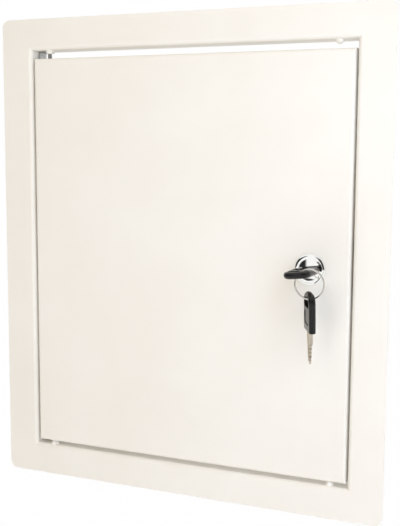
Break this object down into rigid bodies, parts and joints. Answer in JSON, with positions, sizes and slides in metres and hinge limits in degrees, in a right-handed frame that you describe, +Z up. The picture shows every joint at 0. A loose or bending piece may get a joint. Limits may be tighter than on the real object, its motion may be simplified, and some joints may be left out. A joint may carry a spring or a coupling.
{
  "type": "access panel",
  "caption": "Flush metal access panel: white folded frame, side-hinged pan door on pivot pins, chrome cam lock with a key, split ring and spare key.",
  "frame": {"origin": "middle of the frame's opening on the wall face, which is the back of the flange", "axes": "+Y into the wall, the door's front faces -Y; +Z up; +X to the right as seen from the front, toward the lock"},
  "size_m": [0.3, 0.0636, 0.35],
  "materials": {
    "white_coat": "smooth warm white powder coat",
    "zinc_steel": "bright zinc plating",
    "nylon": "natural nylon",
    "chrome": "polished chrome plating",
    "brass": "stamped brass",
    "spring_steel": "drawn spring wire",
    "key_nickel": "warm nickel plating, milled cuts",
    "ring_steel": "bright nickel plating",
    "black_plastic": "satin black moulded plastic"
  },
  "bodies": {
    "frame": {"frame": "white_coat", "hinge_pin_top": "zinc_steel", "hinge_pin_bottom": "zinc_steel", "hinge_washer": "nylon", "keeper": "zinc_steel", "keeper_rivets": "zinc_steel"},
    "door": {"door_panel": "white_coat", "lock_housing": "chrome", "lock_washer": "zinc_steel", "lock_nut": "zinc_steel"},
    "plug": {"lock_plug": "chrome", "lock_wafers": "brass", "wafer_springs": "spring_steel", "stop_washer": "zinc_steel", "cam": "zinc_steel", "cam_washer": "zinc_steel", "cam_screw": "zinc_steel"},
    "key": {"key_blade": "key_nickel", "key_bow": "black_plastic"},
    "ring": {"key_ring": "ring_steel"},
    "spare_key": {"spare_key_blade": "key_nickel", "spare_key_bow": "black_plastic"}
  },
  "joints": [
    {"name": "door_hinge", "type": "hinge", "parent": "frame", "child": "door", "pos_m": [-0.1115, 0.0042, 0], "axis": [0, 0, -1], "range_deg": [0, 120]},
    {"name": "lock_turn", "type": "hinge", "parent": "door", "child": "plug", "pos_m": [0.096, 0, -0.001], "axis": [0, 1, 0], "range_deg": [0, 90]},
    {"name": "key_pull", "type": "slide", "parent": "plug", "child": "key", "axis": [0, -1, 0], "range_m": [0, 0.024]},
    {"name": "ring_swing", "type": "hinge", "parent": "key", "child": "ring", "pos_m": [0.10357, -0.0299, -0.00027], "axis": [1, 0, 0], "range_deg": [-15, 15]},
    {"name": "spare_key_slide", "type": "hinge", "parent": "ring", "child": "spare_key", "pos_m": [0.1042, -0.0299, -0.00683], "axis": [0, 1, 0], "range_deg": [-90, 0]}
  ],
  "couplings": [
    {"joint": "spare_key_slide", "follows": "lock_turn", "ratio": -1}
  ]
}
